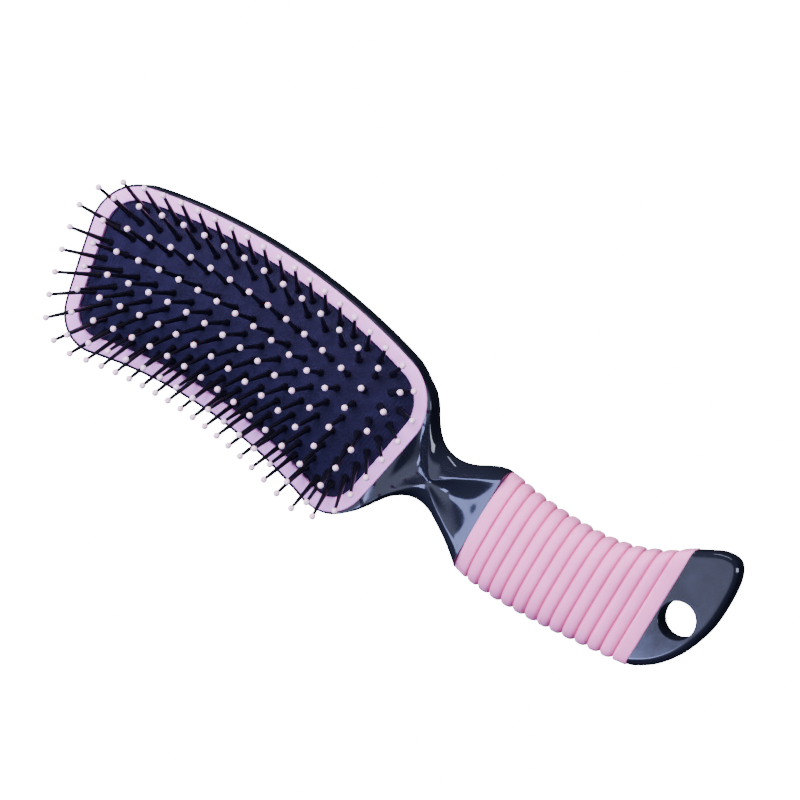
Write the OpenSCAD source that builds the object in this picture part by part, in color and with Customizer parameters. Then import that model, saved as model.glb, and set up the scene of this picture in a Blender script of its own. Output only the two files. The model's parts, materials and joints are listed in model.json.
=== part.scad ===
// Cushioned pin hair brush with an S-curved one-piece body, an air cushion and a ribbed soft grip.
// Millimetres.  The origin is the centre of the hanging hole, +Y runs to the head, +Z is the pin side.

/* [Head] */
// Half the width of the head across its curved centreline
head_half_w = 29.6; // [28:0.1:31]
// Half the length of the head along its curved centreline
head_half_l = 66; // [65:0.5:67]
// Radius of the curved centreline of the head
head_bend_r = 190; // [170:1:260]
// Distance from the hanging hole to the middle of the head
head_mid_y = 168.3; // [167:0.1:170]
// Corner radius of the head
head_corner_r = 15.5; // [12:0.5:17]
// How far the two ends lean back from square to the centreline, as a slope
head_end_shear = 0.15; // [0:0.01:0.3]
// Height of the rim above the middle plane, and depth of the back below it
head_half_t = 7; // [6.5:0.1:8]
// Thickness of the moulded back under the cushion
back_t = 2.4; // [1.6:0.1:3]
// Width of the thin rim left round the retaining ring
rim_w = 0.7; // [0.5:0.1:1]

/* [Retaining ring] */
// Width of the flat ring
ring_w = 4.8; // [4:0.1:5.5]
// Thickness of the flat ring
ring_t = 1.5; // [1.2:0.1:2]

/* [Cushion] */
// Height of the dome above its clamped edge
dome_h = 6.9; // [5:0.1:8]
// Thickness of the rubber membrane
rubber_t = 1.3; // [1:0.1:1.6]
// How far the cushion sinks under the hand
press_travel = 3; // [1:0.5:3]

/* [Pins] */
// Rows of pins along the head
pin_rows = 17; // [17:17]
// Pins in a full row
pin_columns = 9; // [9:9]
// Spacing of the pins along the head
pin_pitch_l = 6.9; // [6.5:0.1:7]
// Spacing of the pins across the head
pin_pitch_w = 5; // [4.6:0.1:5.1]
// Length of a pin from the rubber to the middle of its ball tip
pin_l = 16.4; // [12:0.1:18]
// Radius of a pin where it leaves the rubber
pin_root_r = 1.25; // [1:0.05:1.4]
// Radius of a pin under its ball tip
pin_top_r = 0.5; // [0.4:0.05:0.6]
// Radius of the ball tip
ball_r = 1.05; // [0.9:0.05:1.2]
// Lean of the outermost pins across the head, in degrees
fan_w = 27; // [15:1:30]
// Lean of the pins at the ends of the head, in degrees
fan_l = 26; // [15:1:28]

/* [Grip] */
// Where the sleeve starts, at the tail
grip_y0 = 6.6; // [6:0.1:7]
// Where the sleeve ends, at the neck
grip_y1 = 70; // [69:0.1:71]
// Length of the plain collar at each end of the sleeve
collar_l = 5; // [4:0.1:6]
// Number of ribs between the collars
rib_count = 12; // [10:1:13]
// How far a rib stands above the groove beside it
rib_h = 1.1; // [0.6:0.1:1.2]
// Thickness of the sleeve in the grooves
sleeve_t = 1.6; // [1.2:0.1:2]

/* [Tail] */
// Thickness of the tail
tail_t = 10; // [8:0.1:10]
// Radius of the rounded edge of the tail
tail_edge_r = 2.6; // [2:0.1:3]
// Radius of the hanging hole
hole_r = 6; // [5:0.1:6]

/* [Hidden] */
ROW_NAMES = ["01", "02", "03", "04", "05", "06", "07", "08", "09",
             "10", "11", "12", "13", "14", "15", "16", "17"];

black = "#17171c";
pink = "#e9bcd6";
rubber = "#24243a";
tip_pink = "#f2d4e4";
eps = 0.01;

ring_top_z = head_half_t - 0.2;
flange_z = ring_top_z - ring_t;
pad_inset = rim_w + ring_w;
pad_half_w = head_half_w - pad_inset;
pad_half_l = head_half_l - pad_inset;
pad_corner_r = head_corner_r - 3;
flange_w = 3.6;
rivet_r = 1.8;
rivet_t = 0.9;
stem_r = 0.8;
boss_l = 1.3;
boss_top_r = 0.95;
ball_bore = 0.7;
corner_steps = 9;
side_steps = 14;
end_steps = 5;

// A point of the head at t along its centreline and u to the right of it.
function head_angle(u, t) = (t - head_end_shear * u * t / head_half_l) / head_bend_r * 180 / PI;
function head_x(u, t) = (head_bend_r + u) * cos(head_angle(u, t)) - head_bend_r;
function head_y(u, t) = head_mid_y + (head_bend_r + u) * sin(head_angle(u, t));

// A rounded rectangle in the head's own u and t, half w wide and half l long, counter-clockwise.
function corner(w, l, r, su, st, a0) = [for (i = [0 : corner_steps])
    let (a = a0 + 90 * i / corner_steps) [su * (w - r) + r * cos(a), st * (l - r) + r * sin(a)]];
function edge(p, q, n) = [for (i = [1 : n - 1]) p + (q - p) * i / n];
function pad_shape(w, l, r) = concat(
    corner(w, l, r, 1, 1, 0), edge([w - r, l], [r - w, l], end_steps),
    corner(w, l, r, -1, 1, 90), edge([-w, l - r], [-w, r - l], side_steps),
    corner(w, l, r, -1, -1, 180), edge([r - w, -l], [w - r, -l], end_steps),
    corner(w, l, r, 1, -1, 270), edge([w, r - l], [w, l - r], side_steps));
function bent(points) = [for (p = points) [head_x(p[0], p[1]), head_y(p[0], p[1])]];
function head_outline(inset) = bent(pad_shape(
    head_half_w - inset, head_half_l - inset, max(head_corner_r - inset, 2)));
function at_height(points, z) = [for (p = points) [p[0], p[1], z]];

// Closed skin through a stack of rings with equal point counts, each ring counter-clockwise seen
// from the end that the stack grows towards.
module skin(rings) {
    n = len(rings[0]);
    last = (len(rings) - 1) * n;
    polyhedron(
        points = [for (r = rings) for (p = r) p],
        faces = concat(
            [[for (i = [0 : n - 1]) i]],
            [for (k = [0 : len(rings) - 2]) for (i = [0 : n - 1])
                let (a = k * n + i, b = k * n + (i + 1) % n) each [[a, a + n, b + n], [a, b + n, b]]],
            [[for (i = [n - 1 : -1 : 0]) last + i]]),
        convexity = 8);
}

// Smooth value at y in a table of [y, value, value...] rows.
function tangent(rows, i, c) = let (a = max(i - 1, 0), b = min(i + 1, len(rows) - 1))
    (rows[b][c] - rows[a][c]) / (rows[b][0] - rows[a][0]);
function row_before(rows, y, i = 0) =
    i >= len(rows) - 2 || y < rows[i + 1][0] ? i : row_before(rows, y, i + 1);
function smooth_value(rows, y, c) =
    let (i = row_before(rows, y), h = rows[i + 1][0] - rows[i][0],
         s = min(max((y - rows[i][0]) / h, 0), 1), s2 = s * s, s3 = s2 * s)
    (2 * s3 - 3 * s2 + 1) * rows[i][c] + (s3 - 2 * s2 + s) * h * tangent(rows, i, c)
    + (3 * s2 - 2 * s3) * rows[i + 1][c] + (s3 - s2) * h * tangent(rows, i + 1, c);

// Handle from tail to head: y, centre x, half width, half height, half width between the ridges,
// depth of the scoop between the ridges as a share of the half height.
HANDLE = [
    [2, 1, 22, 6, 17, 0],
    [6.6, 0.1, 21.2, 6.3, 16, 0],
    [14, -3.5, 19.5, 7.2, 14, 0],
    [23, -6.4, 18.3, 8, 13, 0],
    [32, -8.4, 17.8, 8.5, 12.5, 0],
    [41, -9.5, 17.9, 8.7, 12.5, 0],
    [51, -10.1, 18.1, 8.7, 12.5, 0],
    [61, -10, 18.4, 8.4, 13, 0],
    [70, -9, 18.1, 7.8, 14, 0],
    [75, -7.8, 15.7, 7.2, 11, 0.2],
    [80, -7.5, 12.7, 6.4, 7.8, 0.32],
    [85, -7.2, 10.4, 5.7, 4.8, 0.32],
    [90, -6.7, 9.5, 5.3, 1.8, 0.12],
    [95, -5.9, 10.9, 5.7, 5.8, 0.34],
    [100, -4.6, 15, 6.5, 11.5, 0.4],
    [104, -3.6, 20.4, 6.9, 17, 0.22],
    [110, -3, 24, 6.9, 20, 0]];
oval = 2.5;
ridge_steps = 6;
flank_steps = 5;

function oval_height(x) = pow(max(1 - pow(abs(x), oval), 0), 1 / oval);
function ridged_height(x, ridge, scoop) = abs(x) < ridge
    ? 1 - scoop * (1 - pow(x / ridge, 2))
    : pow(max(1 - pow((abs(x) - ridge) / (1 - ridge), 1.25), 0), 0.7);
function ridge_weight(y) = min(max((y - grip_y1) / 4, 0), 1);

// Positions across a section, from -1 to 1, with a point on each ridge.
function across(ridge) = concat(
    [for (i = [0 : flank_steps - 1]) -ridge - (1 - ridge) * cos(90 * i / flank_steps)],
    [for (i = [0 : ridge_steps]) ridge * (2 * i / ridge_steps - 1)],
    [for (i = [flank_steps - 1 : -1 : 1]) ridge + (1 - ridge) * cos(90 * i / flank_steps)]);

// One section of the handle at y, taken in by the given depth; clockwise in x and z.
function section(y, depth, ridged) =
    let (cx = smooth_value(HANDLE, y, 1), hw = smooth_value(HANDLE, y, 2) - depth,
         hh = smooth_value(HANDLE, y, 3) - depth,
         ridge = smooth_value(HANDLE, y, 4) / smooth_value(HANDLE, y, 2),
         scoop = max(smooth_value(HANDLE, y, 5), 0),
         k = ridged ? ridge_weight(y) : 0, xs = across(ridge))
    concat(
        [for (x = xs) [cx + hw * x, y, hh * ((1 - k) * oval_height(x) + k * ridged_height(x, ridge, scoop))]],
        [for (i = [0 : len(xs) - 1]) let (x = -xs[i]) [cx + hw * x, y, -hh * oval_height(x)]]);

// The sleeve: plain collars with rounded edges, and round ribs with narrow grooves between them.
rib_zone = grip_y1 - grip_y0 - 2 * collar_l;
rib_pitch = rib_zone / rib_count;
RIB_PROFILE = [[0.08, 0], [0.2, 0.62], [0.38, 0.95], [0.62, 0.95], [0.8, 0.62], [0.92, 0]];
function collar_rings(y0, y1) = [[y0, 0.35], [y0 + 0.6, 0], [y1 - 0.9, 0], [y1 - 0.3, 0.35], [y1, rib_h]];
function sleeve_stations() = concat(
    [[grip_y0, 0.35], [grip_y0 + 0.6, 0], [grip_y0 + collar_l - 0.9, 0], [grip_y0 + collar_l - 0.3, 0.35]],
    [for (r = [0 : rib_count - 1]) for (p = RIB_PROFILE)
        [grip_y0 + collar_l + (r + p[0]) * rib_pitch, rib_h * (1 - p[1])]],
    [[grip_y1 - collar_l + 0.3, 0.35], [grip_y1 - collar_l + 0.9, 0], [grip_y1 - 0.6, 0], [grip_y1, 0.35]]);
core_depth = rib_h + sleeve_t;
core_steps = 12;
function core_y(i) = grip_y0 + (grip_y1 - grip_y0) * i / core_steps;

module handle_skin() {
    neck_steps = 14;
    skin(concat(
        [for (y = [2, grip_y0]) section(y, core_depth, false)],
        [for (i = [0 : core_steps]) section(core_y(i), core_depth, false)],
        [for (i = [0 : neck_steps]) section(grip_y1 + (110 - grip_y1) * i / neck_steps, 0, true)]));
}

// Tail outline, clockwise from the sleeve's left edge: rounded off to the left, flared to the right.
TAIL = [[-21.2, 8.4], [-20.2, 4.6], [-15.6, -1.5], [-8.6, -6.4], [2, -9.9], [12, -10.5],
        [21, -9.5], [25.7, -6.4], [25.6, -1], [21.4, 6.4], [21.2, 8.4]];
tail_steps = 4;
function slope(points, i) = (points[min(i + 1, len(points) - 1)] - points[max(i - 1, 0)]) / 2;
function between(points, i, s) =
    (2 * s * s * s - 3 * s * s + 1) * points[i] + (s * s * s - 2 * s * s + s) * slope(points, i)
    + (3 * s * s - 2 * s * s * s) * points[i + 1] + (s * s * s - s * s) * slope(points, i + 1);
function curve(points, n) = [each [for (i = [0 : len(points) - 2]) for (k = [0 : n - 1])
    between(points, i, k / n)], points[len(points) - 1]];
// The outline taken in by d, square to itself; its two ends keep their y.
function unit(v) = v / norm(v);
function inward(p, i) = let (v = unit(p[min(i + 1, len(p) - 1)] - p[max(i - 1, 0)])) [-v[1], v[0]];
function taken_in(p, d) = [for (i = [0 : len(p) - 1])
    let (q = p[i] + d * inward(p, i)) [q[0], i == 0 || i == len(p) - 1 ? p[i][1] : q[1]]];
tail_edge_steps = 4;
module tail_skin() {
    outline = curve(TAIL, tail_steps);
    top = [for (k = [0 : tail_edge_steps]) let (a = 90 * k / tail_edge_steps)
        [tail_edge_r * (1 - cos(a)), tail_t / 2 - tail_edge_r * (1 - sin(a))]];
    bottom = [for (k = [tail_edge_steps : -1 : 0]) [top[k][0], -top[k][1]]];
    skin([for (e = concat(bottom, top)) at_height(taken_in(outline, e[0]), e[1])]);
}

// Head tray: the outline carried down a vertical wall and rounded under to the crowned back.
BACK_PROFILE = [[19, 0], [13, 0.15], [8, 0.8], [4.2, 2.1], [1.8, 3.9], [0.5, 5.6], [0, 6.8]];
module head_skin() {
    skin(concat(
        [for (p = BACK_PROFILE) at_height(head_outline(p[0]), p[1] - head_half_t)],
        [at_height(head_outline(0), head_half_t - 0.25), at_height(head_outline(0.2), head_half_t)]));
}

module body() {
    color(black) difference() {
        union() {
            head_skin();
            handle_skin();
            tail_skin();
        }
        translate([0, 0, flange_z]) linear_extrude(20) polygon(head_outline(rim_w));
        translate([0, 0, flange_z - rubber_t]) linear_extrude(20)
            polygon(head_outline(pad_inset - flange_w));
        translate([0, 0, back_t - head_half_t]) linear_extrude(20) polygon(head_outline(pad_inset + 0.4));
        cylinder(h = 40, r = hole_r, center = true, $fn = 64);
    }
}

module retaining_ring() {
    color(pink) translate([0, 0, flange_z]) linear_extrude(ring_t) difference() {
        polygon(head_outline(rim_w + 0.05));
        polygon(head_outline(pad_inset));
    }
}

// Height of the dome above its clamped edge.
function dome(u, t) = dome_h * max(1 - pow(u / pad_half_w, 2), 0) * max(1 - pow(abs(t) / pad_half_l, 5), 0);
DOME_RINGS = [1, 0.97, 0.9, 0.8, 0.66, 0.48, 0.27, 0.04];
function dome_ring(q, drop) = [for (p = pad_shape(pad_half_w * q, pad_half_l * q, pad_corner_r * q))
    [head_x(p[0], p[1]), head_y(p[0], p[1]), flange_z + (q < 1 ? dome(p[0], p[1]) : 0) - drop]];

module cushion() {
    flange = head_outline(pad_inset - flange_w + 0.05);
    color(rubber) skin(concat(
        [for (i = [len(DOME_RINGS) - 1 : -1 : 0]) dome_ring(DOME_RINGS[i], rubber_t)],
        [at_height(flange, flange_z - rubber_t), at_height(flange, flange_z)],
        [for (q = DOME_RINGS) dome_ring(q, 0)]));
}

// Pin places and leans: a grid without its four corners, fanned both ways.
function row_t(r) = (r - (pin_rows - 1) / 2) * pin_pitch_l;
function column_u(c) = (c - (pin_columns - 1) / 2) * pin_pitch_w;
function lean_w(u) = fan_w * u / column_u(pin_columns - 1);
function lean_l(t) = let (e = row_t(pin_rows - 1), a = abs(t) / e)
    sign(t) * fan_l * (0.35 * a + 0.65 * pow(a, 5));
function is_corner(r, c) = (r == 0 || r == pin_rows - 1) && (c == 0 || c == pin_columns - 1);

module along_row(r) {
    t = row_t(r);
    for (c = [0 : pin_columns - 1]) if (!is_corner(r, c)) {
        u = column_u(c);
        lean = atan(sqrt(pow(tan(lean_w(u)), 2) + pow(tan(lean_l(t)), 2)));
        turn = head_angle(u, t) + atan2(tan(lean_l(t)), tan(lean_w(u)));
        translate([head_x(u, t), head_y(u, t), flange_z + dome(u, t)]) rotate([0, lean, turn]) children();
    }
}

module pin() {
    rotate_extrude($fn = 24) polygon([
        [0, -rubber_t - rivet_t], [rivet_r, -rubber_t - rivet_t], [rivet_r, -rubber_t], [stem_r, -rubber_t],
        [stem_r, 0], [pin_root_r, 0], [boss_top_r, boss_l], [pin_top_r, pin_l - ball_bore],
        [pin_top_r, pin_l], [0, pin_l]]);
}

module ball_tip() {
    translate([0, 0, pin_l]) rotate_extrude($fn = 24) difference() {
        intersection() {
            circle(r = ball_r, $fn = 24);
            translate([0, -ball_r]) square([ball_r, 2 * ball_r]);
        }
        translate([0, -2 * ball_r]) square([pin_top_r, 2 * ball_r]);
    }
}

module pin_row(r) { color(black) along_row(r) pin(); }
module ball_tips_row(r) { color(tip_pink) along_row(r) ball_tip(); }

module grip_sleeve() {
    outer = [for (s = sleeve_stations()) section(s[0], s[1], false)];
    color(pink) difference() {
        skin(outer);
        skin(concat([section(grip_y0 - 1, core_depth, false)],
            [for (i = [0 : core_steps]) section(core_y(i), core_depth, false)],
            [section(grip_y1 + 1, core_depth, false)]));
    }
}

body();
retaining_ring();
cushion();
grip_sleeve();
for (r = [0 : pin_rows - 1]) {
    pin_row(r);
    ball_tips_row(r);
}
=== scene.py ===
"""Finished pieces of a cushioned pin hair brush, built around its loaded frame."""

import json
import math

import bmesh
import bpy
from mathutils import Matrix, Vector


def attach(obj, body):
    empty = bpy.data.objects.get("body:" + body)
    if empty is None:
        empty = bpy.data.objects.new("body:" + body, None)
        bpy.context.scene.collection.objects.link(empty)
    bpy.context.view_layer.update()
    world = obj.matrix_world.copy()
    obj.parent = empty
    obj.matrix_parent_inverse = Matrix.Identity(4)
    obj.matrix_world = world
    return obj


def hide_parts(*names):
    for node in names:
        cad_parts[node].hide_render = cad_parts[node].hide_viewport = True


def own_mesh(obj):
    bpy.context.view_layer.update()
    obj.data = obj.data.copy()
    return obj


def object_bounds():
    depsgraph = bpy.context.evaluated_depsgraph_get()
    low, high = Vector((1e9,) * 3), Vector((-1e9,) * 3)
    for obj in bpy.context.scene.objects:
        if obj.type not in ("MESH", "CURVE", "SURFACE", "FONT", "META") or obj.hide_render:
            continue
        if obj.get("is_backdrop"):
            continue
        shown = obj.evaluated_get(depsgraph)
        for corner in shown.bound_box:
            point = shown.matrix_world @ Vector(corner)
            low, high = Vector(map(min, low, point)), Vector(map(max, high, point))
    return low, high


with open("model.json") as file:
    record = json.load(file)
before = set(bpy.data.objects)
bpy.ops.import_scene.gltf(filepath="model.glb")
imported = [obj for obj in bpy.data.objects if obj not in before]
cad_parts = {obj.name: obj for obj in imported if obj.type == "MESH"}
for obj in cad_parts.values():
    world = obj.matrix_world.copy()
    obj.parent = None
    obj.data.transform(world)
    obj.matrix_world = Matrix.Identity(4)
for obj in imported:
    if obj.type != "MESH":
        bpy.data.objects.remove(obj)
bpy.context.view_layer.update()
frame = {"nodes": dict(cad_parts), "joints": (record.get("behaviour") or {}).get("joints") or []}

bl_info = {
    "name": "Cushioned Pin Hair Brush",
    "version": (1, 0, 0),
    "blender": (4, 5, 0),
    "location": "3D Viewport > Sidebar > Hair Brush",
    "description": "Builds the body, cushion, pins, ring and grip of a cushioned pin hair brush",
    "category": "Object",
}

MM = 0.001
PIN_NODES = sorted(name for name in frame["nodes"] if name.startswith("pin_row_"))
TIP_NODES = sorted(name for name in frame["nodes"] if name.startswith("ball_tips_row_"))


def linear(hex_code):
    """Turn an sRGB hex colour into the linear colour that the shaders use."""
    channels = [int(hex_code[i : i + 2], 16) / 255 for i in (1, 3, 5)]
    return (*[c / 12.92 if c <= 0.04045 else ((c + 0.055) / 1.055) ** 2.4 for c in channels], 1.0)


def size(name, millimetres, description, low=0.1):
    """A length that a maker may change, given in millimetres and kept in metres."""
    return bpy.props.FloatProperty(
        name=name, description=description, default=millimetres * MM, min=low * MM,
        unit="LENGTH", subtype="DISTANCE", precision=5,
    )


def vector(name, millimetres, description):
    """A place that a maker may change, given in millimetres and kept in metres."""
    return bpy.props.FloatVectorProperty(
        name=name, description=description, default=[v * MM for v in millimetres], subtype="TRANSLATION"
    )


def angle(name, degrees, description):
    """An angle that a maker may change."""
    return bpy.props.FloatProperty(
        name=name, description=description, default=math.radians(degrees), unit="ROTATION", subtype="ANGLE"
    )


def colour(name, hex_code, description):
    """A finish colour that a maker may change."""
    return bpy.props.FloatVectorProperty(
        name=name, description=description, default=linear(hex_code), size=4, subtype="COLOR", min=0, max=1
    )


class HeadSizes(bpy.types.PropertyGroup):
    """Sizes of the curved head tray and what sits in its mouth."""

    half_width: size("Half Width", 29.6, "Half the width of the head across its curved centreline")
    half_length: size("Half Length", 66, "Half the length of the head along its curved centreline")
    bend_radius: size("Bend Radius", 190, "Radius of the head's curved centreline")
    middle: size("Middle", 168.3, "Distance from the hanging hole to the middle of the head")
    corner_radius: size("Corner Radius", 15.5, "Corner radius of the head")
    end_shear: bpy.props.FloatProperty(
        name="End Shear", description="How far the two ends lean back from square", default=0.15
    )
    half_height: size("Half Height", 7, "Height of the rim above the middle plane")
    rim_width: size("Rim Width", 0.7, "Width of the rim left round the retaining ring")
    ring_width: size("Ring Width", 4.8, "Width of the retaining ring")
    ring_thickness: size("Ring Thickness", 1.5, "Thickness of the retaining ring")
    back_thickness: size("Back Thickness", 2.4, "Thickness of the moulded back under the cushion")


class CushionSizes(bpy.types.PropertyGroup):
    """Sizes of the air cushion."""

    dome_height: size("Dome Height", 5.4, "Height of the dome above its clamped edge")
    rubber: size("Rubber", 1.3, "Thickness of the rubber membrane")
    thread_spacing: size("Thread Spacing", 0.62, "Spacing of the threads moulded into the rubber's face")


class PinSizes(bpy.types.PropertyGroup):
    """Sizes and places of the pins."""

    columns: bpy.props.IntProperty(name="Columns", description="Pins in a row", default=7, min=3)
    pitch_length: size("Pitch Along", 7.13, "Spacing of the rows along the head")
    pitch_width: size("Pitch Across", 5.62, "Spacing of the pins across the head")
    row_shift: size("Row Shift", 0.9, "How far the rows are moved towards the handle", 0)
    border: bpy.props.IntProperty(
        name="Border Pins", description="Pins in the border round the rows", default=52
    )
    border_width: size("Border Half Width", 21.1, "Half the width of the pins' border")
    border_length: size("Border Half Length", 56.5, "Half the length of the pins' border")
    border_radius: size("Border Corner", 9, "Corner radius of the pins' border")
    length: size("Length", 16.9, "Length of a pin from the rubber to the middle of its ball tip")
    root_radius: size("Root Radius", 1.25, "Radius of a pin where it leaves the rubber")
    top_radius: size("Top Radius", 0.5, "Radius of a pin under its ball tip")
    ball_radius: size("Ball Radius", 1.05, "Radius of a ball tip")
    fan_across: angle("Fan Across", 31, "Lean of the border pins at the sides of the head")
    fan_along: angle("Fan Along", 32.5, "Lean of the border pins at the ends of the head")


class GripSizes(bpy.types.PropertyGroup):
    """Sizes of the ribbed grip sleeve."""

    start: size("Start", 6.6, "Distance from the hanging hole to the sleeve's tail end")
    end: size("End", 70, "Distance from the hanging hole to the sleeve's neck end")
    collar: size("Collar", 5, "Length of the plain collar at each end")
    ribs: bpy.props.IntProperty(name="Ribs", description="Ribs between the collars", default=12, min=3)
    rib_height: size("Rib Height", 1.1, "How far a rib stands above the groove beside it")
    wall: size("Wall", 1.6, "Thickness of the sleeve in its grooves")


class TailSizes(bpy.types.PropertyGroup):
    """Sizes of the flat tail with its hanging hole."""

    thickness: size("Thickness", 10, "Thickness of the tail")
    edge_radius: size("Edge Radius", 2.6, "Radius of the tail's rounded edge")
    hole_radius: size("Hole Radius", 6, "Radius of the hanging hole")
    hole_edge: size("Hole Edge", 0.35, "Radius of the rounded edge of the hanging hole")


class Finishes(bpy.types.PropertyGroup):
    """Colours of the finishes."""

    body: colour("Body", "#14161F", "Gloss black ABS of the body")
    ring: colour("Ring", "#FCA2EE", "Pink ABS of the retaining ring")
    grip: colour("Grip", "#FF8DC6", "Pink thermoplastic rubber of the grip")
    # Painted shade: the groove colour is the grip's pink darkened to stand in for the shade that falls
    # between two ribs.
    groove: colour("Groove", "#D04088", "The same rubber where it lies deep between two ribs")
    cushion: colour("Cushion", "#130E29", "Blue-black rubber of the cushion")
    pin: colour("Pin", "#0E0D14", "Black nylon of the pins")
    tip: colour("Tip", "#FFD6E9", "Pale pink resin of the ball tips")


class StageSizes(bpy.types.PropertyGroup):
    """The floor, the lamps and the camera."""

    floor: size("Floor", 4000, "Side of the square floor")
    camera_place: vector("Camera Place", (209.03, -138.09, 840.26), "Where the camera stands")
    camera_aim: vector("Camera Aim", (8.05, 114.04, 0), "The point that the camera looks at")
    camera_up: bpy.props.FloatVectorProperty(
        name="Camera Up", description="Direction towards the top of the view",
        default=(0.8439, 0.5349, -0.0414),
    )
    lens: bpy.props.FloatProperty(name="Lens", description="Focal length for a 36 mm sensor", default=126.4)


# ---------------------------------------------------------------- shape helpers


def smooth_row(rows, place):
    """Values at a fractional place in a table of rows, on a smooth curve through them."""
    last = len(rows) - 1
    i = min(int(place), last - 1)
    s = place - i
    before, start, end, after = rows[max(i - 1, 0)], rows[i], rows[i + 1], rows[min(i + 2, last)]
    return [
        (2 * s**3 - 3 * s**2 + 1) * p
        + (s**3 - 2 * s**2 + s) * (q - a) / 2
        + (3 * s**2 - 2 * s**3) * q
        + (s**3 - s**2) * (b - p) / 2
        for a, p, q, b in zip(before, start, end, after)
    ]


def lofted(columns, rows, place, mark=None, name="mark"):
    """A grid bent into a skin: place(column, row) gives each point, and mark a value kept on it."""
    skin = bmesh.new()
    bmesh.ops.create_grid(skin, x_segments=columns, y_segments=rows, size=0.5)
    chart = skin.loops.layers.uv.new("surface")
    kept = skin.verts.layers.float.new(name) if mark else None
    for face in skin.faces:
        for loop in face.loops:
            loop[chart].uv = (loop.vert.co.x + 0.5, loop.vert.co.y + 0.5)
    for vert in skin.verts:
        column, row = round((vert.co.x + 0.5) * columns), round((vert.co.y + 0.5) * rows)
        if mark:
            vert[kept] = mark(column, row)
        vert.co = place(column, row)
    bmesh.ops.remove_doubles(skin, verts=skin.verts, dist=1e-7)
    return skin


def closed_up(skin):
    """Close a skin's open ends and turn its faces outwards."""
    bmesh.ops.holes_fill(skin, edges=[e for e in skin.edges if e.is_boundary], sides=0)
    bmesh.ops.recalc_face_normals(skin, faces=skin.faces)
    return skin


def piece(name, skin, sharp=35):
    """A smooth-shaded object from a bmesh, with its edges sharp above an angle in degrees."""
    mesh = bpy.data.meshes.new(name)
    skin.to_mesh(mesh)
    skin.free()
    mesh.shade_smooth()
    mesh.set_sharp_from_angle(angle=math.radians(sharp))
    made = bpy.data.objects.new(name, mesh)
    bpy.context.collection.objects.link(made)
    return made


def combined(made, other, operation):
    """Join or cut a piece with another, which is used up."""
    step = made.modifiers.new(operation.title(), "BOOLEAN")
    step.operation = operation
    step.solver = "EXACT"
    step.object = other
    graph = bpy.context.evaluated_depsgraph_get()
    mesh = bpy.data.meshes.new_from_object(made.evaluated_get(graph))
    made.modifiers.clear()
    made.data = mesh
    bpy.data.objects.remove(other)


def finished(made, body, material, nodes):
    """Give a piece its finish, its body and the nodes that it stands for."""
    made.data.materials.clear()
    made.data.materials.append(material)
    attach(made, body)
    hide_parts(*nodes)
    return made


# ---------------------------------------------------------------- the head's own plan


def head_point(head, u, t):
    """Plan place of a point t along the head's curved centreline and u to the right of it."""
    turn = (t - head.end_shear * u * t / head.half_length) / head.bend_radius
    reach = head.bend_radius + u
    return reach * math.cos(turn) - head.bend_radius, head.middle + reach * math.sin(turn)


def round_a_corner_box(w, l, r, share, inset=0.0):
    """(u, t) at a share of the way round a rounded rectangle, taken in by inset."""
    quarter_arc = math.pi / 2 * r
    lengths = [2 * (l - r), quarter_arc, 2 * (w - r), quarter_arc] * 2
    along, index = share % 1 * sum(lengths), 0
    while index < 7 and along > lengths[index]:
        along -= lengths[index]
        index += 1
    part, side = along / lengths[index], index // 2
    r = max(r - inset, 2 * MM)
    w, l = w - inset - r, l - inset - r
    centres = [(w, l), (-w, l), (-w, -l), (w, -l)]
    (u0, t0), (u1, t1) = centres[side - 1], centres[side]
    if index % 2:
        turn, u, t = (side + part) * math.pi / 2, u1, t1
    else:
        turn, u, t = side * math.pi / 2, u0 + (u1 - u0) * part, t0 + (t1 - t0) * part
    return u + r * math.cos(turn), t + r * math.sin(turn)


def round_the_tray(head, inset, share):
    """(u, t) at a share of the way round the tray's rounded outline, taken in by inset."""
    return round_a_corner_box(head.half_width, head.half_length, head.corner_radius, share, inset)


def tray_inset(head, u, t):
    """How far inside the tray's outline a point of the head lies."""
    r = head.corner_radius
    across, along = abs(u) - (head.half_width - r), abs(t) - (head.half_length - r)
    return r - math.hypot(max(across, 0), max(along, 0)) - min(max(across, along), 0)


def half_width_at(head, t, inset=0.0):
    """Half width of the outline, taken in by inset, at t along the head."""
    r = max(head.corner_radius - inset, 2 * MM)
    w, l = head.half_width - inset - r, head.half_length - inset - r
    return w + math.sqrt(max(r * r - max(abs(t) - l, 0) ** 2, 0))


def dome_rise(head, cushion, u, t):
    """Height of the cushion's dome above its clamped edge."""
    inset = head.rim_width + head.ring_width
    across, along = u / (head.half_width - inset), abs(t) / (head.half_length - inset)
    return cushion.dome_height * max(1 - across**2, 0) * max(1 - along**5, 0)


def flange_height(head):
    """Height of the shelf that the retaining ring lies on."""
    return head.half_height - 0.2 * MM - head.ring_thickness


# ---------------------------------------------------------------- body

# The grip's core and sleeve, in mm: distance from the hole, centre, half width and half height; then
# how square its section is.
GRIP_ROWS = [
    (2, 1, 22.3, 5.5, 7),
    (6.6, 0.1, 21.6, 5.5, 6.5),
    (14, -3.4, 19.7, 6.6, 4.5),
    (23, -6.4, 18.3, 7.8, 3.2),
    (32, -8.4, 17.8, 8.5, 2.7),
    (41, -9.5, 17.9, 8.7, 2.5),
    (51, -10.1, 18.1, 8.7, 2.5),
    (61, -10, 18.4, 8.4, 2.5),
    (70, -9, 18.1, 7.8, 2.5),
    (75, -7.8, 15.7, 7.2, 2.5),
]

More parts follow.
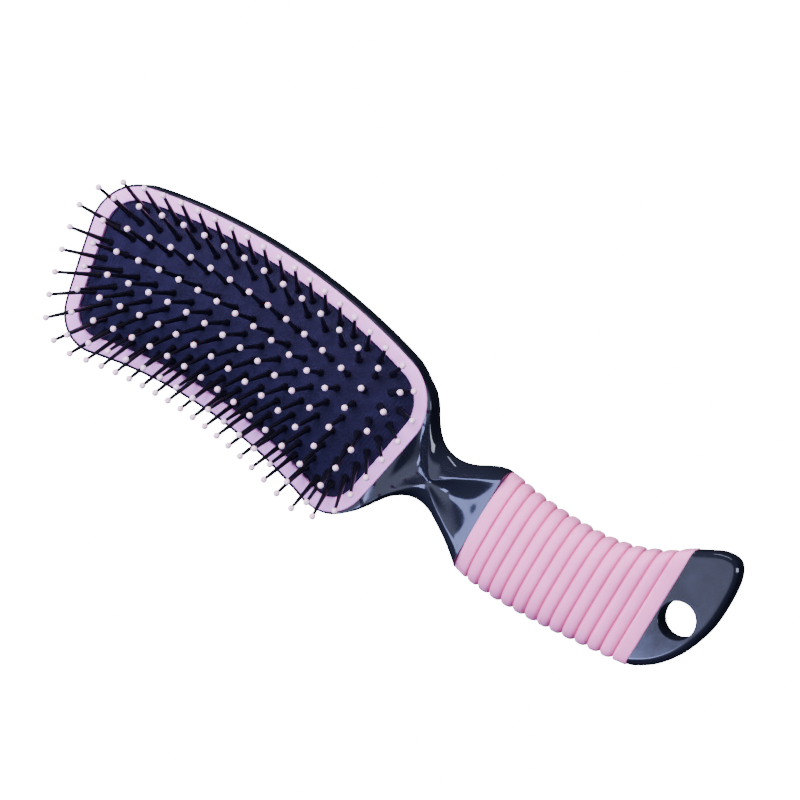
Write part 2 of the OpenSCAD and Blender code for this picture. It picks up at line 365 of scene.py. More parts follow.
# The neck, in mm: left edge x and y, right edge x and y, centre and half spacing of its two ridges,
# height of the ridges, depth of the scoop between them, depth of the back, share of the tray's shape.
NECK_ROWS = [
    (-27.1, 70, 9.1, 70, -7.8, 14.3, 7.5, 0.1, 7.5, 0),
    (-25.6, 72, 9.0, 72, -7.5, 12.6, 7.3, 0.5, 7.4, 0),
    (-23.4, 75, 8.0, 75, -7.5, 10.7, 6.9, 1.1, 7.1, 0),
    (-21.4, 78, 6.4, 78, -7.6, 9.0, 6.5, 1.6, 6.7, 0),
    (-19.7, 81, 4.6, 81, -7.7, 7.2, 6.1, 1.9, 6.2, 0),
    (-18.0, 84.2, 3.3, 84.2, -7.8, 5.4, 5.7, 1.8, 5.8, 0),
    (-16.6, 87.5, 2.7, 87.5, -7.9, 3.2, 5.4, 1.1, 5.5, 0),
    (-16.0, 90.8, 3.0, 90.8, -7.7, 1.4, 5.3, 0.3, 5.3, 0),
    (-16.2, 94, 4.2, 94, -6.8, 4.4, 5.5, 1.2, 5.4, 0),
    (-17.6, 97.3, 6.7, 97, -5.6, 8.6, 6.0, 2.0, 5.8, 0.1),
    (-20.4, 100.8, 10.3, 99.8, -5.2, 13.0, 6.5, 1.5, 6.3, 0.3),
    (-24.0, 103.6, 14.0, 102, -5.0, 17.4, 6.8, 0.4, 6.6, 0.6),
    (-28.2, 106.4, 17.3, 104.9, -5.4, 22.0, 7.0, 0, 6.85, 0.85),
    (-32.0, 109.6, 19.7, 108.6, -6.2, 25.3, 7.0, 0, 7.0, 1),
    (-35.0, 113.8, 21.4, 111.3, -6.8, 27.9, 7.0, 0, 7.0, 1),
    (-36.3, 118.6, 22.4, 113.3, -6.9, 29.1, 7.0, 0, 7.0, 1),
]

# The tail's outline in mm, clockwise from the sleeve's left edge.
TAIL_ROWS = [
    (-21, 6.8), (-20, 4.2), (-15.6, -1.5), (-8.6, -6.4), (2, -9.9), (12, -10.5),
    (21, -9.5), (25.7, -6.4), (25.6, -1), (22.4, 5), (21.3, 6.8),
]

TOP_STEPS, FLANK_STEPS, BACK_STEPS, RIM_STEPS = 24, 12, 44, 5
RUNS = (("top", TOP_STEPS), ("right", FLANK_STEPS), ("back", BACK_STEPS), ("left", FLANK_STEPS))
COLUMNS = TOP_STEPS + BACK_STEPS + 2 * FLANK_STEPS
PARTING = -0.3 * MM
RIM_RADIUS = 0.55 * MM
OVAL, CROWN = 2.5, 0.72
FLANGE_WIDTH, CLAMPED_WIDTH = 3.6 * MM, 2.4 * MM
LIP_EASE = 0.2 * MM
ROUND_STEPS = 240


def oval_height(across, square):
    """Height of the grip's flattened oval, as a share, across from -1 to 1."""
    return max(1 - abs(across) ** square, 0) ** (1 / square)


def tray_back(head, inset):
    """Depth of the tray's back below the middle plane, crowned in the middle and rounded at its wall."""
    rise = (1 - min(max(inset, 0) / (19 * MM), 1) ** 0.65) ** 2.4
    return -head.half_height + rise * (head.half_height + PARTING)


def rounded_rim(head, inset):
    """Height of the tray's rim, rounded over at its outer edge."""
    short = max(RIM_RADIUS - inset, 0)
    return head.half_height - RIM_RADIUS + math.sqrt(max(RIM_RADIUS**2 - short**2, 0))


def loop_place(column):
    """Which run of a section a column lies on, and how far along it."""
    for run, steps in RUNS:
        if column < steps:
            return run, column / steps
        column -= steps
    return "top", 0.0


def flank_fraction(along, ridge, width, share):
    """Across and down places on a flank: an open curve on the neck, a rounded rim and a wall on the tray."""
    neck = ridge + (1 - ridge) * math.sin(along * math.pi / 2) ** 0.95, math.cos(along * math.pi / 2) ** 1.15
    rounded = RIM_STEPS / FLANK_STEPS
    if along < rounded:
        turn = along / rounded * math.pi / 2
        tray = 1 - RIM_RADIUS * (1 - math.sin(turn)) / width, 1.0
    else:
        tray = 1.0, 1 - (along - rounded) / (1 - rounded)
    return [(1 - share) * n + share * t for n, t in zip(neck, tray)]


def neck_point(head, row, column):
    """A point of the neck's section at a row of the table."""
    values = smooth_row(NECK_ROWS, row)
    left, right = Vector(values[0:2]) * MM, Vector(values[2:4]) * MM
    middle, spread, ridge_height, scoop, depth = (v * MM for v in values[4:9])
    share = min(max(values[9], 0), 1)
    half = (right - left).length / 2
    shift = (middle - (left.x + right.x) / 2) / half
    reach = min(spread / half, 1 - RIM_RADIUS / half)
    run, along = loop_place(column)
    if run == "top":
        across = shift * (1 - share) + reach * (2 * along - 1)
        height = ridge_height - max(scoop, 0) * (1 - (2 * along - 1) ** 2) ** 1.4
    elif run == "back":
        across = math.cos(along * math.pi)
        oval = PARTING - (depth + PARTING) * oval_height(across, OVAL)
        height = (1 - share) * oval + share * tray_back(head, (1 - abs(across)) * half)
    else:
        side = 1 if run == "right" else -1
        along = along if run == "right" else 1 - along
        ridge = reach + side * shift * (1 - share)
        out, down = flank_fraction(along, ridge, half, share)
        across = side * out
        rim = rounded_rim(head, (1 - out) * half) if share > 0 else ridge_height
        top = (1 - share) * ridge_height + share * rim
        height = PARTING + (top - PARTING) * down
    plan = left.lerp(right, (across + 1) / 2)
    return Vector((plan.x, plan.y, height))


def tray_point(head, t, column):
    """A point of the tray's section at t along the head."""
    half = half_width_at(head, t)
    run, along = loop_place(column)
    reach = 1 - RIM_RADIUS / half
    if run == "top":
        u = half * reach * (2 * along - 1)
        height = rounded_rim(head, tray_inset(head, u, t))
    elif run == "back":
        u = half * math.cos(along * math.pi)
        height = tray_back(head, tray_inset(head, u, t))
    else:
        side = 1 if run == "right" else -1
        along = along if run == "right" else 1 - along
        out, down = flank_fraction(along, reach, half, 1)
        u = side * half * out
        top = rounded_rim(head, tray_inset(head, u, t))
        height = PARTING + (top - PARTING) * down
    return Vector((*head_point(head, u, t), height))


def grip_point(y, depth, column):
    """A point of the grip's oval section, taken in by depth, on the same columns as the neck."""
    place = 0
    while place < len(GRIP_ROWS) - 2 and y > GRIP_ROWS[place + 1][0] * MM:
        place += 1
    near, far = GRIP_ROWS[place][0] * MM, GRIP_ROWS[place + 1][0] * MM
    _, centre, half, height, square = smooth_row(GRIP_ROWS, place + (y - near) / (far - near))
    half, height = half * MM - depth, height * MM - depth
    run, along = loop_place(column)
    if run == "top":
        across = -CROWN + 2 * CROWN * along
    elif run == "back":
        across = math.cos(along * math.pi)
    elif run == "right":
        across = CROWN + (1 - CROWN) * math.sin(along * math.pi / 2)
    else:
        across = -CROWN - (1 - CROWN) * math.cos(along * math.pi / 2)
    side = -1 if run == "back" else 1
    return Vector((centre * MM + half * across, y, side * height * oval_height(across, square)))


def body_skin(head, grip):
    """Grip core, neck and tray as one skin of sections from the tail to the far end of the head."""
    core = grip.rib_height + grip.wall + 0.02 * MM
    near_t = -(head.half_length - head.corner_radius)
    sections = [("grip", grip.start + (grip.end - grip.start) * i / 12, core) for i in range(13)]
    sections += [("neck", i / 5, 0) for i in range(5 * (len(NECK_ROWS) - 1) + 1)]
    sections += [("tray", near_t * (1 - i / 24), 0) for i in range(49)]
    far = [math.sin(i * math.pi / 36) for i in range(1, 19)]
    sections += [("tray", -near_t + head.corner_radius * s, 0) for s in far]
    sections += [("cap", i / 3, 0) for i in (1, 2, 3)]
    cap_middle = (head.half_height - RIM_RADIUS + PARTING) / 2

    def place(column, row):
        kind, where, depth = sections[row]
        if kind == "grip":
            return grip_point(where, depth, column % COLUMNS)
        if kind == "neck":
            return neck_point(head, where, column % COLUMNS)
        if kind == "tray":
            return tray_point(head, where, column % COLUMNS)
        rim = tray_point(head, head.half_length, column % COLUMNS)
        rim.z += (cap_middle - rim.z) * where
        return rim

    return closed_up(lofted(COLUMNS, len(sections) - 1, place))


def tail_skin(tail):
    """The flat tail: its outline carried round a rounded edge, with flat faces."""
    steps, edge_steps = 8, 8
    count = (len(TAIL_ROWS) - 1) * steps
    outline = [Vector(smooth_row(TAIL_ROWS, i / steps)) * MM for i in range(count + 1)]

    def taken_in(i, depth):
        along = (outline[min(i + 1, count)] - outline[max(i - 1, 0)]).normalized()
        point = outline[i] + Vector((-along.y, along.x)) * depth
        limit = outline[0].y - 0.05 * MM * min(i, count - i)
        return Vector((point.x, outline[i].y if i in (0, count) else min(point.y, limit)))

    def place(column, row):
        side = 1 if row > edge_steps else -1
        turn = (row - edge_steps - (side > 0)) / edge_steps * math.pi / 2
        depth = tail.edge_radius * (1 - math.cos(turn))
        height = side * (tail.thickness / 2 - tail.edge_radius) + tail.edge_radius * math.sin(turn)
        point = taken_in(column, depth) if column <= count else taken_in(0, depth)
        return Vector((point.x, point.y, height))

    return closed_up(lofted(count + 1, 2 * edge_steps + 1, place))


def seat_skin(head, rubber):
    """Cutter for the ring's seat, the cushion's recess and the air space under it."""
    shelf = flange_height(head)
    inner = head.rim_width + head.ring_width
    air, flange = inner + 0.4 * MM, inner - FLANGE_WIDTH
    seat, lip = head.rim_width, head.rim_width - LIP_EASE
    steps = [
        (air, head.back_thickness - head.half_height), (air, shelf - rubber),
        (flange, shelf - rubber), (flange, shelf),
        (seat, shelf), (seat, head.half_height - 0.15 * MM),
        (lip, head.half_height + 0.05 * MM), (lip, head.half_height + 2 * MM),
    ]

    def place(column, row):
        inset, height = steps[row]
        return Vector((*head_point(head, *round_the_tray(head, inset, column / ROUND_STEPS)), height))

    return closed_up(lofted(ROUND_STEPS, len(steps) - 1, place))


def turned_on_axis(profile, steps):
    """A turned skin from a profile of (radius, height)."""
    shape = bmesh.new()
    points = [shape.verts.new((r, 0, z)) for r, z in profile]
    edges = [shape.edges.new(pair) for pair in zip(points, points[1:])]
    bmesh.ops.spin(
        shape, geom=points + edges, cent=(0, 0, 0), axis=(0, 0, 1), angle=2 * math.pi,
        steps=steps, use_merge=True,
    )
    bmesh.ops.remove_doubles(shape, verts=shape.verts, dist=1e-7)
    return closed_up(shape)


def hole_skin(tail):
    """Cutter for the hanging hole, flared to a rounded edge on both faces."""
    top = []
    for degrees in range(0, 91, 15):
        turn = math.radians(degrees)
        out, down = tail.hole_edge * (1 - math.cos(turn)), tail.hole_edge * (1 - math.sin(turn))
        top.append((tail.hole_radius + out, tail.thickness / 2 - down))
    profile = [(r, -z) for r, z in reversed(top)] + top
    ends = (profile[0][0], -tail.thickness), (profile[-1][0], tail.thickness)
    return turned_on_axis([ends[0], *profile, ends[1]], 72)


class BRUSH_OT_body(bpy.types.Operator):
    """Build the one-piece body: grip core, pinched neck, head tray and tail with its hanging hole"""

    bl_idname = "brush.body"
    bl_label = "Build Body"

    def execute(self, context):
        settings = context.scene
        head, tail = settings.brush_head, settings.brush_tail
        made = piece("body_moulding", body_skin(head, settings.brush_grip))
        combined(made, piece("tail_blank", tail_skin(tail)), "UNION")
        combined(made, piece("seat_cutter", seat_skin(head, settings.brush_cushion.rubber)), "DIFFERENCE")
        combined(made, piece("hole_cutter", hole_skin(tail)), "DIFFERENCE")
        made.data.shade_smooth()
        made.data.set_sharp_from_angle(angle=math.radians(30))
        # Broad flat faces keep their own normals, so they reflect as flat.
        even = made.modifiers.new("Even Shading", "WEIGHTED_NORMAL")
        even.keep_sharp = True
        graph = context.evaluated_depsgraph_get()
        made.data = bpy.data.meshes.new_from_object(made.evaluated_get(graph))
        made.modifiers.clear()
        finished(made, "handle", moulded_gloss_abs(settings.brush_finishes.body), ["body"])
        return {"FINISHED"}


# ---------------------------------------------------------------- ring, cushion, grip


class BRUSH_OT_ring(bpy.types.Operator):
    """Build the flat retaining ring with its eased edges"""

    bl_idname = "brush.ring"
    bl_label = "Build Retaining Ring"

    def execute(self, context):
        head = context.scene.brush_head
        outer, inner = head.rim_width + 0.08 * MM, head.rim_width + head.ring_width
        low, high, ease = flange_height(head), flange_height(head) + head.ring_thickness, 0.4 * MM
        profile = [(outer, low), (outer, high - ease)]
        for turn in (22.5, 45, 67.5, 90):
            a = math.radians(turn)
            profile.append((outer + ease * (1 - math.cos(a)), high - ease * (1 - math.sin(a))))
        profile += [(outer + (inner - outer) * share, high) for share in (0.35, 0.65)]
        for turn in (0, 22.5, 45, 67.5, 90):
            a = math.radians(turn)
            profile.append((inner - ease * (1 - math.sin(a)), high - ease * (1 - math.cos(a))))
        profile += [(inner, low)]

        def place(column, row):
            inset, height = profile[row % len(profile)]
            return Vector((*head_point(head, *round_the_tray(head, inset, column / ROUND_STEPS)), height))

        ring = lofted(ROUND_STEPS, len(profile), place)
        bmesh.ops.recalc_face_normals(ring, faces=ring.faces)
        made = piece("retaining_ring_moulding", ring, 50)
        finishes = context.scene.brush_finishes
        finished(made, "handle", moulded_satin_abs(finishes.ring), ["retaining_ring"])
        return {"FINISHED"}


class BRUSH_OT_cushion(bpy.types.Operator):
    """Build the domed air cushion; the press joint's travel is read but not used"""

    bl_idname = "brush.cushion"
    bl_label = "Build Air Cushion"

    def execute(self, context):
        settings = context.scene
        head, cushion = settings.brush_head, settings.brush_cushion
        columns, corner_rows, long_rows = 56, 8, 96
        under = head.rim_width + head.ring_width - CLAMPED_WIDTH
        radius = head.corner_radius - under
        straight = head.half_length - under - radius
        lean = [math.sin(i * math.pi / 2 / corner_rows) for i in range(1, corner_rows + 1)]
        places = [-straight - radius * s for s in reversed(lean)]
        places += [straight * (2 * i / long_rows - 1) for i in range(long_rows + 1)]
        places += [straight + radius * s for s in lean]
        shelf = flange_height(head) - 0.02 * MM

        def place(column, row):
            t = places[row]
            u = half_width_at(head, t, under) * (2 * column / columns - 1)
            return Vector((*head_point(head, u, t), shelf + dome_rise(head, cushion, u, t)))

        skin = lofted(columns, len(places) - 1, place)
        bmesh.ops.recalc_face_normals(skin, faces=skin.faces)
        made = piece("air_cushion", skin, 60)
        wall = made.modifiers.new("Membrane", "SOLIDIFY")
        wall.thickness = cushion.rubber
        wall.offset = -1
        graph = context.evaluated_depsgraph_get()
        made.data = bpy.data.meshes.new_from_object(made.evaluated_get(graph))
        made.modifiers.clear()
        material = moulded_rubber(settings.brush_finishes.cushion, cushion.thread_spacing, head)
        finished(made, "handle", material, ["cushion"])
        press = next(j for j in frame["joints"] if j["name"] == "cushion_press")
        travel = max(abs(v) for v in press["range_m"])
        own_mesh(made)
        return {"FINISHED"}


class BRUSH_OT_grip(bpy.types.Operator):
    """Build the ribbed grip sleeve with a plain collar at each end"""

    bl_idname = "brush.grip"
    bl_label = "Build Grip Sleeve"

    def execute(self, context):
        grip = context.scene.brush_grip
        core, rib = grip.rib_height + grip.wall, grip.rib_height
        first, last = grip.start + grip.collar, grip.end - grip.collar
        pitch = (last - first) / grip.ribs
        ease = [(0, 0.5), (0.1, 0.29), (0.3, 0.1), (0.6, 0)]
        stations = [(grip.start, core)] + [(grip.start + y * MM, d * MM) for y, d in ease]
        fall = [(1.0, 0), (0.55, 0.12), (0.25, 0.45)]
        stations += [(first - y * MM, d * MM) for y, d in fall] + [(first, rib)]
        for i in range(grip.ribs):
            for part in (0.04, 0.1, 0.17, 0.26, 0.37, 0.5, 0.63, 0.74, 0.83, 0.9, 0.96, 1):
                stations.append((first + (i + part) * pitch, rib * abs(2 * part - 1) ** 3.2))
        stations += [(last + y * MM, d * MM) for y, d in reversed(fall)]
        stations += [(grip.end - y * MM, d * MM) for y, d in reversed(ease)] + [(grip.end, core)]
        stations += [(grip.end - (grip.end - grip.start) * i / 12, core) for i in range(1, 12)]

        def place(column, row):
            y, depth = stations[row % len(stations)]
            return grip_point(y, depth, column % COLUMNS)

        # Share of painted shade on the grip: 1 deep between two ribs, 0 on a rib's crest, kept on the skin
        # as its groove mark.
        def deep(column, row):
            return min(stations[row % len(stations)][1] / rib, 1)

        skin = lofted(COLUMNS, len(stations), place, deep, "groove")
        bmesh.ops.recalc_face_normals(skin, faces=skin.faces)
        made = piece("grip_sleeve_moulding", skin, 60)
        finishes = context.scene.brush_finishes
        finished(made, "handle", soft_touch_tpr(finishes.grip, finishes.groove), ["grip_sleeve"])
        return {"FINISHED"}


# ---------------------------------------------------------------- pins and ball tips

RIVET_RADIUS, RIVET_THICKNESS, STEM_RADIUS = 1.8 * MM, 0.9 * MM, 0.8 * MM


def spun(profile, steps):
    """A turned template from a profile of (radius, height) that starts and ends on its axis."""
    mesh = bpy.data.meshes.new("turned")
    shape = turned_on_axis(profile, steps)
    shape.to_mesh(mesh)
    shape.free()
    return mesh


def pin_matrix(settings, u, t):
    """Where the pin at (u, t) of the head stands and how it leans, as one matrix."""
    head, pins = settings.brush_head, settings.brush_pins
    share = abs(t) / pins.border_length
    across = pins.fan_across * u / pins.border_width
    along = math.copysign(pins.fan_along * (0.12 * share + 0.88 * share**5), t)
    lean = math.atan(math.hypot(math.tan(across), math.tan(along)))
    turn = (t - head.end_shear * u * t / head.half_length) / head.bend_radius
    turn += math.atan2(math.tan(along), math.tan(across))
    height = flange_height(head) + dome_rise(head, settings.brush_cushion, u, t)
    return (
        Matrix.Translation((*head_point(head, u, t), height))
        @ Matrix.Rotation(turn, 4, "Z") @ Matrix.Rotation(lean, 4, "Y")
    )


def pin_groups(settings):
    """Each row of pins, and the border round them, as a label and its pins' (u, t) places."""
    pins = settings.brush_pins
    rows = len(PIN_NODES) - 2
    for row in range(rows):
        t = (row - (rows - 1) / 2) * pins.pitch_length - pins.row_shift
        middle = (pins.columns - 1) / 2
        yield f"row_{row + 1:02d}", [((c - middle) * pins.pitch_width, t) for c in range(pins.columns)]
    outline = pins.border_width, pins.border_length, pins.border_radius
    yield "border", [round_a_corner_box(*outline, i / pins.border) for i in range(pins.border)]


def stood_for(nodes, label):
    """The nodes that a group of pins stands for: the border takes the first and the last row's."""
    return [nodes[0], nodes[-1]] if label == "border" else [nodes[int(label[-2:])]]


def row_of(name, template, settings, places, sharp):
    """One piece from a turned shape set at every pin's place."""
    together = bmesh.new()
    for place in places:
        matrix = pin_matrix(settings, *place)
        before = len(together.verts)
        together.from_mesh(template)
        together.verts.ensure_lookup_table()
        bmesh.ops.transform(together, matrix=matrix, verts=together.verts[before:])
    return piece(name, together, sharp)


class BRUSH_OT_pins(bpy.types.Operator):
    """Build the rows of tapered pins, from the rivet head under the rubber to the tip"""

    bl_idname = "brush.pins"
    bl_label = "Build Pins"

    def execute(self, context):
        settings = context.scene
        pins, rubber = settings.brush_pins, settings.brush_cushion.rubber
        rivet, stem, boss = rubber + RIVET_THICKNESS, STEM_RADIUS, pins.root_radius
        profile = [
            (0, -rivet), (RIVET_RADIUS, -rivet), (RIVET_RADIUS, -rubber), (stem, -rubber), (stem, -0.1 * MM),
            (boss, 0), (boss * 0.96, 0.5 * MM), (boss * 0.76, 1.3 * MM), (0.86 * MM, 2.4 * MM),
            (pins.top_radius, pins.length - 0.7 * MM), (0, pins.length - 0.6 * MM),
        ]
        template = spun(profile, 10)
        material = moulded_nylon(settings.brush_finishes.pin)
        for label, places in pin_groups(settings):
            made = row_of(f"pins_{label}", template, settings, places, 45)
            finished(made, "pad", material, stood_for(PIN_NODES, label))
        bpy.data.meshes.remove(template)
        return {"FINISHED"}


class BRUSH_OT_tips(bpy.types.Operator):
    """Build the rows of ball tips on the pins"""

    bl_idname = "brush.tips"
    bl_label = "Build Ball Tips"

    def execute(self, context):
        settings = context.scene
        pins = settings.brush_pins
        radius, start = pins.ball_radius, -math.acos(pins.top_radius / pins.ball_radius)
        turns = [start + (math.pi / 2 - start) * i / 7 for i in range(8)]
        profile = [(0, pins.length + radius * math.sin(start))]
        profile += [(radius * math.cos(a), pins.length + radius * math.sin(a)) for a in turns[:-1]]
        template = spun(profile + [(0, pins.length + radius)], 12)
        material = cast_resin(settings.brush_finishes.tip)
        for label, places in pin_groups(settings):
            made = row_of(f"tips_{label}", template, settings, places, 60)
            finished(made, "pad", material, stood_for(TIP_NODES, label))
        bpy.data.meshes.remove(template)
        return {"FINISHED"}


# ---------------------------------------------------------------- finishes


def add_node(tree, kind, settings=None, links=None):
    """Add a node, set its properties and sockets by name or number, and link its inputs."""
    node = tree.nodes.new(kind)
    for name, value in (settings or {}).items():
        if isinstance(name, int) or name in node.inputs:
            node.inputs[name].default_value = value
        else:
            setattr(node, name, value)
    for name, source in (links or {}).items():
        tree.links.new(source, node.inputs[name])
    return node


def new_finish(name, **sockets):
    """A material with one principled shader, and its tree, shader and coordinates."""
    material = bpy.data.materials.new(name)
    material.use_nodes = True
    tree = material.node_tree
    shader = tree.nodes["Principled BSDF"]
    for socket, value in sockets.items():
        shader.inputs[socket.replace("_", " ")].default_value = value
    return material, tree, shader, add_node(tree, "ShaderNodeTexCoord").outputs["Object"]


def shaded(tint, share):
    """A colour scaled towards black or white."""
    return (*[min(c * share, 1) for c in tint[:3]], 1)


def noise(tree, here, scale, detail):
    """Soft noise over a piece, with scale patches to a metre."""
    sockets = {"Scale": scale, "Detail": detail}
    return add_node(tree, "ShaderNodeTexNoise", sockets, {"Vector": here}).outputs["Fac"]


def spread(tree, value, low, high, start=0.0, end=1.0):
    """Stretch a value that runs from start to end so that it runs from low to high."""
    sockets = {"From Min": start, "From Max": end, "To Min": low, "To Max": high}
    return add_node(tree, "ShaderNodeMapRange", sockets, {"Value": value}).outputs["Result"]


def blended(tree, low, high, share):
    """A colour between two colours."""
    sockets = {"data_type": "RGBA", 6: low, 7: high}
    return add_node(tree, "ShaderNodeMix", sockets, {0: share}).outputs[2]


def multiplied(tree, tint, tone):
    """A colour made lighter or darker by a tone."""
    sockets = {"data_type": "RGBA", "blend_type": "MULTIPLY", 0: 1.0}
    return add_node(tree, "ShaderNodeMix", sockets, {6: tint, 7: tone}).outputs[2]


def raised(tree, height, strength, depth):
    """A bumped normal from a height, with its depth in metres."""
    sockets = {"Strength": strength, "Distance": depth}
    return add_node(tree, "ShaderNodeBump", sockets, {"Height": height}).outputs["Normal"]


def feed(shader, **sources):
    """Link sources to a shader's sockets."""
    for socket, source in sources.items():
        shader.id_data.links.new(source, shader.inputs[socket.replace("_", " ")])


def moulded_gloss_abs(tint):
    """Injection-moulded ABS polished in the mould: deep black, mirror-like, with a slow ripple."""
    material, tree, shader, here = new_finish(
        "abs_gloss_black", IOR=1.54, Coat_Weight=0.25, Coat_Roughness=0.03
    )
    # Flow lines and handling change the gloss slightly over 6 mm patches.
    haze = noise(tree, here, 160.0, 3.0)
    # The moulding sinks and ripples by a few microns over 12 mm, which bends reflections.
    ripple = noise(tree, here, 80.0, 1.0)
    feed(
        shader, Roughness=spread(tree, haze, 0.06, 0.13, 0.3, 0.75),
        Base_Color=blended(tree, tint, shaded(tint, 1.5), haze), Normal=raised(tree, ripple, 0.25, 0.00012),
    )
    return material


def moulded_satin_abs(tint):
    """Injection-moulded ABS in pale pink: even colour, soft gloss from a lightly sanded mould."""
    material, tree, shader, here = new_finish(
        "abs_satin_pink", IOR=1.54, Subsurface_Weight=0.08, Subsurface_Scale=0.002
    )
    cloud = noise(tree, here, 110.0, 3.0)
    # Mould grain of about 0.3 mm.
    grain = noise(tree, here, 3300.0, 2.0)
    feed(
        shader, Roughness=spread(tree, cloud, 0.3, 0.42), Normal=raised(tree, grain, 0.2, 0.00003),
        Base_Color=blended(tree, shaded(tint, 0.94), shaded(tint, 1.05), cloud),
    )
    return material


def soft_touch_tpr(tint, groove_shade_tint):
    """Overmoulded thermoplastic rubber: matt, slightly see-through, with painted shade darkening it where it
    lies deep between the ribs.
    """
    material, tree, shader, here = new_finish(
        "tpr_soft_pink", IOR=1.5, Subsurface_Weight=0.25, Subsurface_Scale=0.003, Sheen_Weight=0.12
    )
    shader.inputs["Subsurface Radius"].default_value = (1.0, 0.45, 0.7)
    groove = add_node(tree, "ShaderNodeAttribute", {"attribute_name": "groove"}).outputs["Fac"]
    # Painted shade: the pink is mixed towards the darker groove colour where the rubber lies deep between
    # two ribs.
    ribbed = blended(tree, tint, groove_shade_tint, spread(tree, groove, 0.0, 0.85, 0.25, 1.0))
    cloud = noise(tree, here, 130.0, 4.0)
    # Spark-eroded mould grain of about 0.35 mm.
    grain = noise(tree, here, 2800.0, 3.0)
    feed(
        shader, Roughness=spread(tree, cloud, 0.45, 0.62), Normal=raised(tree, grain, 0.35, 0.00006),
        Base_Color=multiplied(tree, ribbed, spread(tree, cloud, 0.95, 1.04, 0.3, 0.7)),
    )
    return material


def moulded_rubber(tint, spacing, head):
    """Moulded rubber with a cloth-like face: matt, blue-black, fine threads both ways, with painted shade in
    the threads' valleys and painted highlight on their crests.
    """
    material, tree, shader, here = new_finish("rubber_blue_black", IOR=1.38, Roughness=0.75)
    chart = add_node(tree, "ShaderNodeUVMap", {"uv_map": "surface"}).outputs["UV"]
    # The chart runs 0 to 1 over the membrane, so this turns it into threads.
    counts = 2 * head.half_width / spacing, 2 * head.half_length / spacing, 1.0
    threads = add_node(tree, "ShaderNodeMapping", {"Scale": counts}, {"Vector": chart}).outputs["Vector"]
    split = add_node(tree, "ShaderNodeSeparateXYZ", None, {"Vector": threads})
    waves = []
    for axis in ("X", "Y"):
        turns = {"operation": "MULTIPLY", 1: 2 * math.pi}
        turn = add_node(tree, "ShaderNodeMath", turns, {0: split.outputs[axis]}).outputs[0]
        waves.append(add_node(tree, "ShaderNodeMath", {"operation": "SINE"}, {0: turn}).outputs[0])
    weave = add_node(tree, "ShaderNodeMath", {"operation": "MAXIMUM"}, {0: waves[0], 1: waves[1]}).outputs[0]
    face = spread(tree, weave, 0.0, 1.0, -1.0, 1.0)
    cloud = noise(tree, here, 140.0, 4.0)
    # Painted shade and highlight: the colour follows the threads' height, darker in their valleys and
    # lighter on their crests.
    lit = blended(tree, shaded(tint, 0.55), shaded(tint, 1.35), face)
    feed(
        shader, Base_Color=multiplied(tree, lit, spread(tree, cloud, 0.8, 1.2, 0.3, 0.7)),
        Normal=raised(tree, face, 0.6, 0.00008),
    )
    return material


def moulded_nylon(tint):
    """Moulded nylon: black, half gloss, faintly cloudy along the shank."""
    material, tree, shader, here = new_finish("nylon_black", IOR=1.53, Roughness=0.36)
    cloud = noise(tree, here, 900.0, 2.0)
    feed(shader, Base_Color=blended(tree, shaded(tint, 0.7), shaded(tint, 1.5), cloud))
    return material


def cast_resin(tint):
    """Dipped resin bead: pale pink, glossy, lets a little light in."""
    material, tree, shader, here = new_finish(
        "resin_pale_pink", IOR=1.5, Roughness=0.22, Subsurface_Weight=0.15, Subsurface_Scale=0.0005
    )
    feed(shader, Base_Color=blended(tree, shaded(tint, 0.95), tint, noise(tree, here, 300.0, 1.0)))
    return material


def matt_board(tint):
    """Matt white board lit from behind, which leaves no shadow on it."""
    material, tree, shader, here = new_finish(
        "board_backlit_white", Roughness=0.9, Emission_Color=linear("#FFFFFF"), Emission_Strength=16.0
    )
    feed(shader, Base_Color=blended(tree, shaded(tint, 0.985), tint, noise(tree, here, 3.0, 2.0)))
    return material


# ---------------------------------------------------------------- stage

# Lamps, in metres from the middle of the brush: name; place to the right, up and towards the camera;
# width and height; watts; tint.
LAMPS = (
    ("lamp_above", (-0.5, 0.7, 1.0), (1.1, 1.1), 54, "#F8F3FF"),
    ("lamp_side", (1.2, -0.1, 0.6), (0.3, 0.9), 9, "#DCE2FF"),
    ("lamp_tail", (-0.8, -0.46, 1.0), (0.34, 0.4), 6.5, "#A4B0FF"),
    ("lamp_neck", (-1.0, 0.1, 0.62), (0.3, 0.55), 5.5, "#A9B4FF"),
    ("lamp_rim", (0.2, 1.2, 0.2), (0.8, 0.12), 3, "#DCE2FF"),
)
BRUSH_MIDDLE = Vector((-0.01, 0.11, 0))


def camera_matrix(place, aim, up):
    """World matrix of a camera at place that looks at aim, with up towards the top of its view."""
    back = (Vector(place) - Vector(aim)).normalized()
    right = Vector(up).cross(back).normalized()
    matrix = Matrix((right, back.cross(right), back)).transposed().to_4x4()
    matrix.translation = place
    return matrix


def area_lamp(name, place, lamp_size, watts, tint):
    """A soft rectangular lamp that faces the middle of the brush."""
    data = bpy.data.lights.new(name, "AREA")
    data.shape, data.energy, data.color = "RECTANGLE", watts, linear(tint)[:3]
    data.size, data.size_y = lamp_size
    lamp = bpy.data.objects.new(name, data)
    lamp.location = place
    lamp.rotation_euler = (BRUSH_MIDDLE - place).to_track_quat("-Z", "Y").to_euler()
    bpy.context.collection.objects.link(lamp)


def studio_sky(scene):
    """A pale sky overhead that falls to near dark at the horizon, as in a studio with dark walls."""
    world = scene.world or bpy.data.worlds.new("sky")
    scene.world = world
    world.use_nodes = True
    tree = world.node_tree
    here = add_node(tree, "ShaderNodeTexCoord").outputs["Generated"]
    height = add_node(tree, "ShaderNodeSeparateXYZ", None, {"Vector": here}).outputs["Z"]
    rise = spread(tree, height, 0.0, 1.0, 0.8, 0.94)
    sky = tree.nodes["Background"]
    sky.inputs["Strength"].default_value = 1.6
    feed(sky, Color=blended(tree, linear("#14161F"), linear("#D3D9FF"), rise))


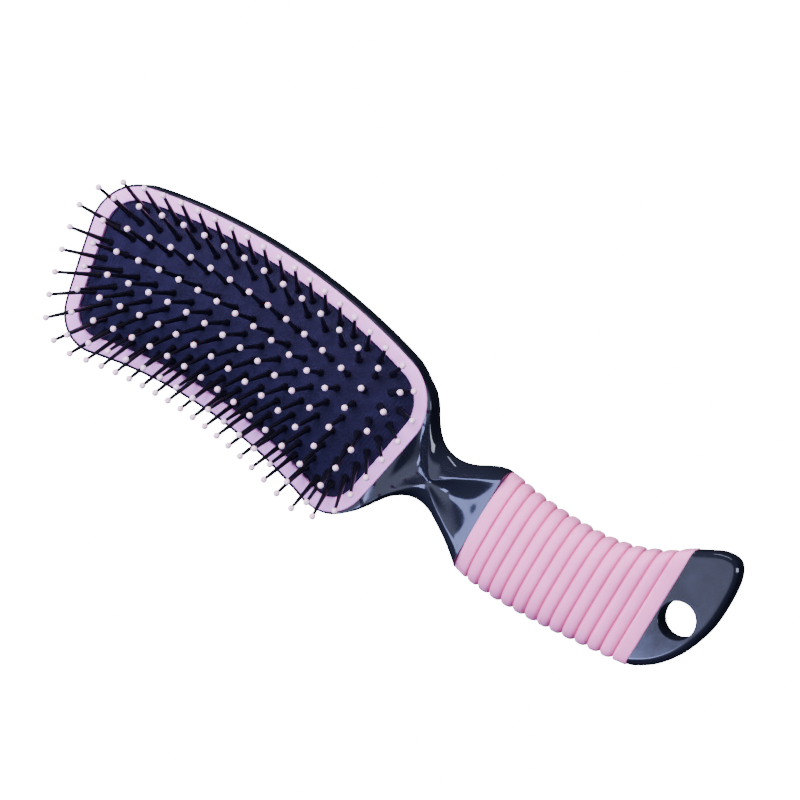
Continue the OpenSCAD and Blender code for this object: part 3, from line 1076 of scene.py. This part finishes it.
class BRUSH_OT_stage(bpy.types.Operator):
    """Set the floor, the soft lamps, the sky and the camera"""

    bl_idname = "brush.stage"
    bl_label = "Build Stage"

    def execute(self, context):
        stage = context.scene.brush_stage
        board = bmesh.new()
        bmesh.ops.create_grid(board, x_segments=1, y_segments=1, size=stage.floor / 2)
        lowest = min(p[2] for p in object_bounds())
        bmesh.ops.translate(board, verts=board.verts, vec=(0, 0, lowest - 0.05 * MM))
        floor = piece("floor", board)
        floor.data.materials.append(matt_board(linear("#FFFFFF")))
        floor.visible_glossy = floor.visible_diffuse = False
        floor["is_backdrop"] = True

        view = camera_matrix(stage.camera_place, stage.camera_aim, stage.camera_up)
        data = bpy.data.cameras.new("camera")
        data.lens, data.sensor_width, data.clip_start = stage.lens, 36, 0.01
        camera = bpy.data.objects.new("camera", data)
        camera.matrix_world = view
        context.collection.objects.link(camera)
        context.scene.camera = camera

        axes = [view.col[i].to_3d() for i in range(3)]
        for name, place, lamp_size, watts, tint in LAMPS:
            offset = sum((axis * share for axis, share in zip(axes, place)), Vector())
            area_lamp(name, BRUSH_MIDDLE + offset, lamp_size, watts, tint)
        # The wide lamp only lights; the narrow ones also show as soft patches on the glossy body.
        context.scene.objects["lamp_above"].visible_glossy = False
        studio_sky(context.scene)
        return {"FINISHED"}


BUILDERS = (
    BRUSH_OT_stage, BRUSH_OT_body, BRUSH_OT_ring, BRUSH_OT_cushion,
    BRUSH_OT_grip, BRUSH_OT_pins, BRUSH_OT_tips,
)


class BRUSH_PT_panel(bpy.types.Panel):
    """The brush's sizes, finishes and builders"""

    bl_idname = "BRUSH_PT_panel"
    bl_label = "Hair Brush"
    bl_space_type = "VIEW_3D"
    bl_region_type = "UI"
    bl_category = "Hair Brush"

    def draw(self, context):
        for builder in BUILDERS:
            self.layout.operator(builder.bl_idname)
        for name in SETTINGS:
            group = getattr(context.scene, name)
            box = self.layout.box()
            box.label(text=name.replace("_", " ").title())
            for field in group.bl_rna.properties.keys():
                if field not in {"rna_type", "name"}:
                    box.prop(group, field)


SETTINGS = {
    "brush_head": HeadSizes,
    "brush_cushion": CushionSizes,
    "brush_pins": PinSizes,
    "brush_grip": GripSizes,
    "brush_tail": TailSizes,
    "brush_finishes": Finishes,
    "brush_stage": StageSizes,
}


def register():
    """Register the settings, the builders and the panel."""
    for name, group in SETTINGS.items():
        bpy.utils.register_class(group)
        setattr(bpy.types.Scene, name, bpy.props.PointerProperty(type=group))
    for kind in (*BUILDERS, BRUSH_PT_panel):
        bpy.utils.register_class(kind)


def unregister():
    """Take away what register added."""
    for kind in reversed((*BUILDERS, BRUSH_PT_panel)):
        bpy.utils.unregister_class(kind)
    for name, group in SETTINGS.items():
        delattr(bpy.types.Scene, name)
        bpy.utils.unregister_class(group)


def main():
    """Register the settings and build everything in order."""
    register()
    for builder in BUILDERS:
        area, name = builder.bl_idname.split(".")
        getattr(getattr(bpy.ops, area), name)()


if __name__ == "__main__":
    main()
